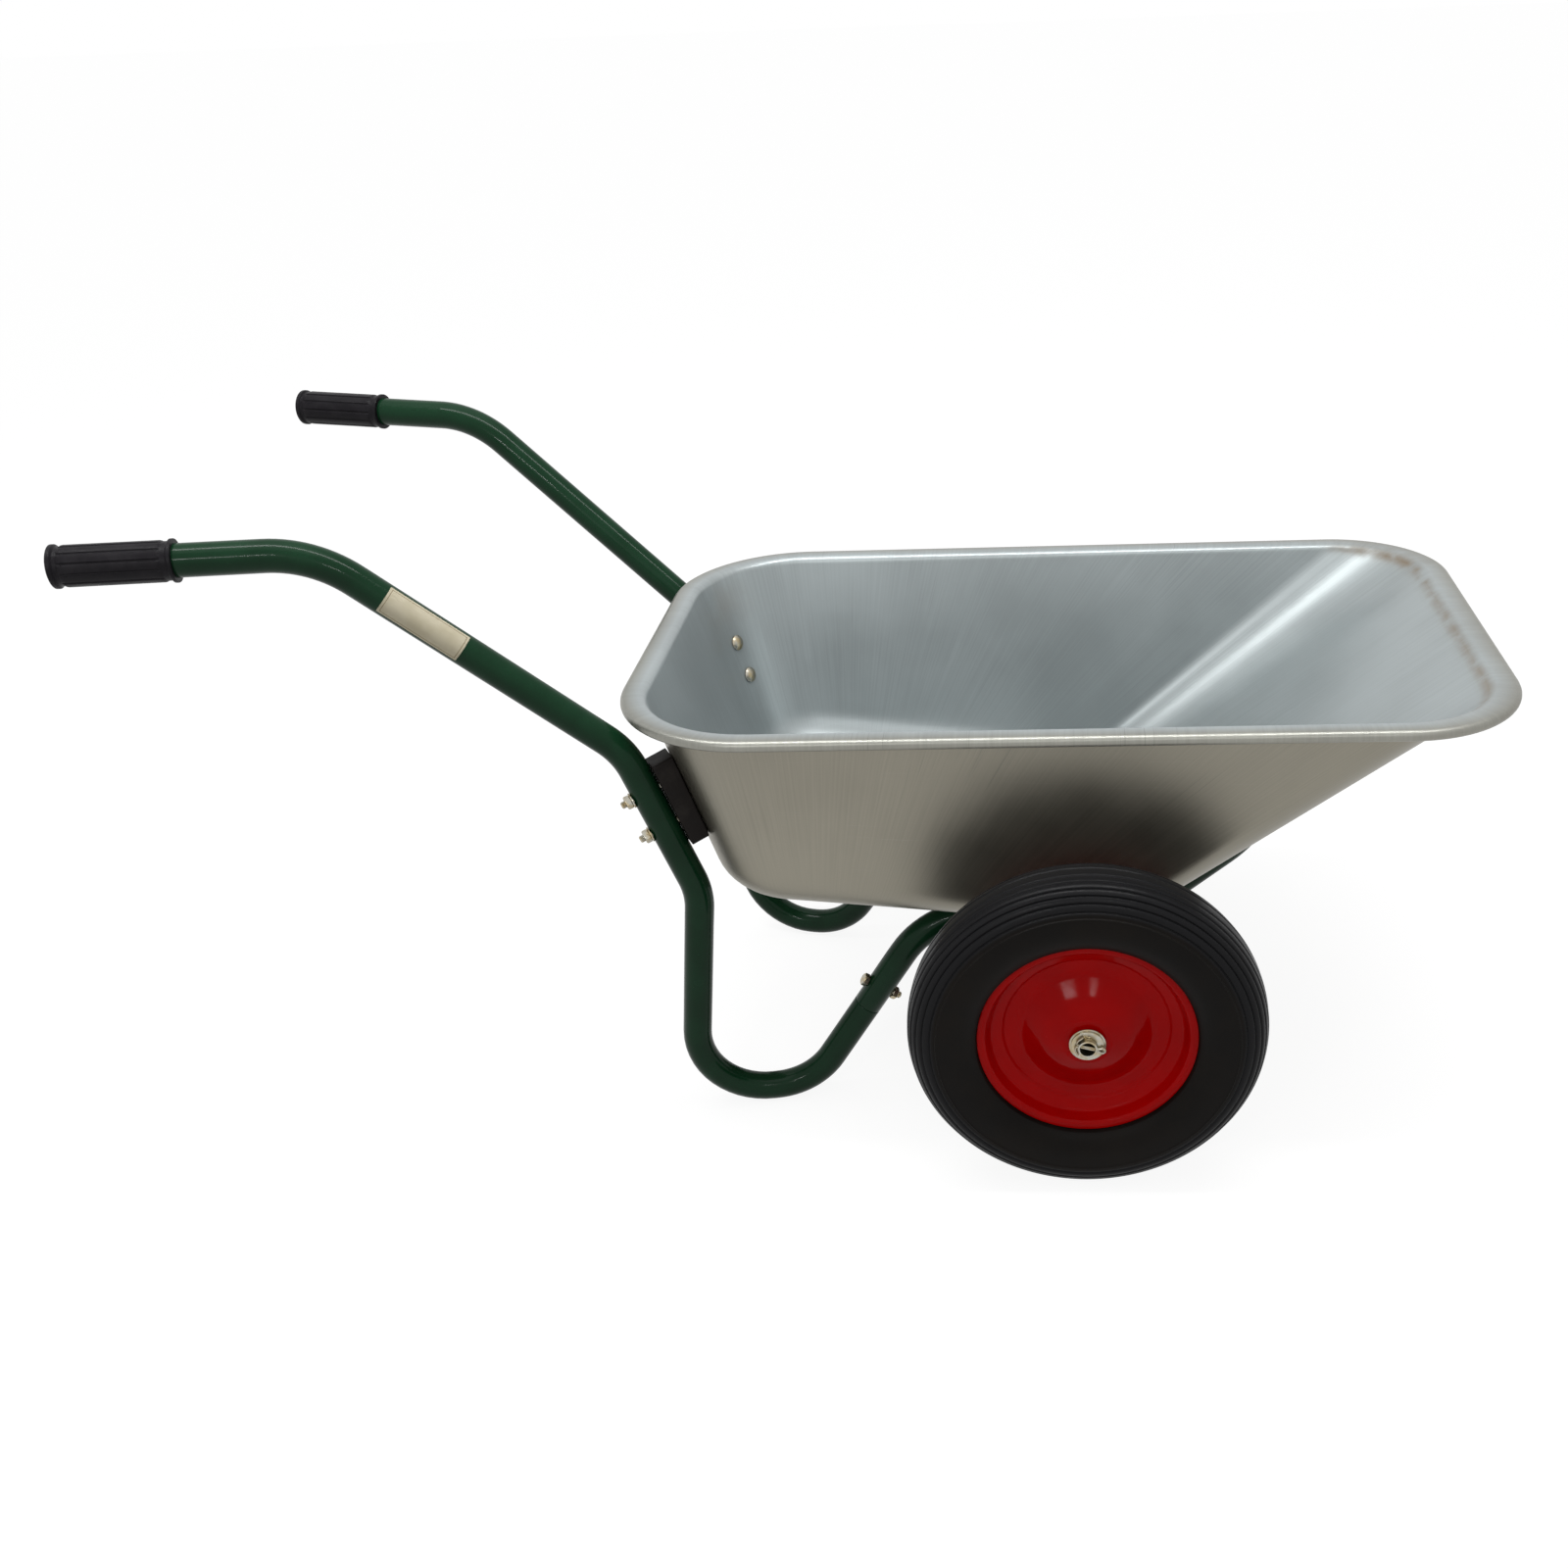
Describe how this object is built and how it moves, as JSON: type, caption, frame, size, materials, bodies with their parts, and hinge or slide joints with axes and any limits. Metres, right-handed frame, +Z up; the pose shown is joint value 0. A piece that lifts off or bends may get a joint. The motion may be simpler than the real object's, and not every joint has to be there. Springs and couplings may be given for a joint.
{
  "type": "two wheel wheelbarrow",
  "caption": "Two-wheel wheelbarrow with a galvanised tray, bent green tube frame and red disc wheels on air tyres.",
  "frame": {"origin": "on the ground, at the middle of the whole length and width", "axes": "+X forward to the tray's nose, +Y to the user's left along the axle, +Z up"},
  "size_m": [1.4001, 0.7088, 0.7195],
  "materials": {
    "galvanised_sheet": "galvanised sheet with fine upright drawing marks",
    "green_paint": "gloss dark green powder coat",
    "red_paint": "gloss red enamel",
    "tyre_rubber": "matt black tyre rubber",
    "tube_rubber": "soft black rubber",
    "valve_rubber": "moulded black rubber",
    "grip_plastic": "moulded soft black plastic",
    "block_plastic": "dark brown-black moulded plastic",
    "bush_plastic": "natural nylon",
    "zinc_plate": "bright zinc plate with a faint yellow tint",
    "label_film": "plain cream film"
  },
  "bodies": {
    "frame": {"tray": "galvanised_sheet", "handle_tube_left": "green_paint", "handle_tube_right": "green_paint", "front_hoop": "green_paint", "grip_left": "grip_plastic", "grip_right": "grip_plastic", "spacer_block_left": "block_plastic", "spacer_block_right": "block_plastic", "back_bolts": "zinc_plate", "back_washers": "zinc_plate", "back_nuts": "zinc_plate", "splice_bolts": "zinc_plate", "splice_nuts": "zinc_plate", "tray_bolts": "zinc_plate", "tray_washers": "zinc_plate", "tray_nuts": "zinc_plate", "axle": "zinc_plate", "axle_bracket_left": "green_paint", "axle_bracket_right": "green_paint", "bracket_bolts": "zinc_plate", "bracket_nuts": "zinc_plate", "axle_spacer_left": "zinc_plate", "axle_spacer_right": "zinc_plate", "inner_axle_washers": "zinc_plate", "wide_axle_washers": "zinc_plate", "narrow_axle_washers": "zinc_plate", "split_pins": "zinc_plate", "handle_label": "label_film"},
    "wheel_left": {"tyre_left": "tyre_rubber", "inner_tube_left": "tube_rubber", "rim_outer_left": "red_paint", "rim_inner_left": "red_paint", "hub_tube_left": "red_paint", "hub_bushes_left": "bush_plastic", "valve_left": "valve_rubber"},
    "wheel_right": {"tyre_right": "tyre_rubber", "inner_tube_right": "tube_rubber", "rim_outer_right": "red_paint", "rim_inner_right": "red_paint", "hub_tube_right": "red_paint", "hub_bushes_right": "bush_plastic", "valve_right": "valve_rubber"}
  },
  "joints": [
    {"name": "wheel_left_spin", "type": "hinge", "parent": "frame", "child": "wheel_left", "pos_m": [0.26256, 0.314, 0.1875], "axis": [0, 1, 0], "continuous": true},
    {"name": "wheel_right_spin", "type": "hinge", "parent": "frame", "child": "wheel_right", "pos_m": [0.26256, -0.314, 0.1875], "axis": [0, 1, 0], "continuous": true}
  ]
}
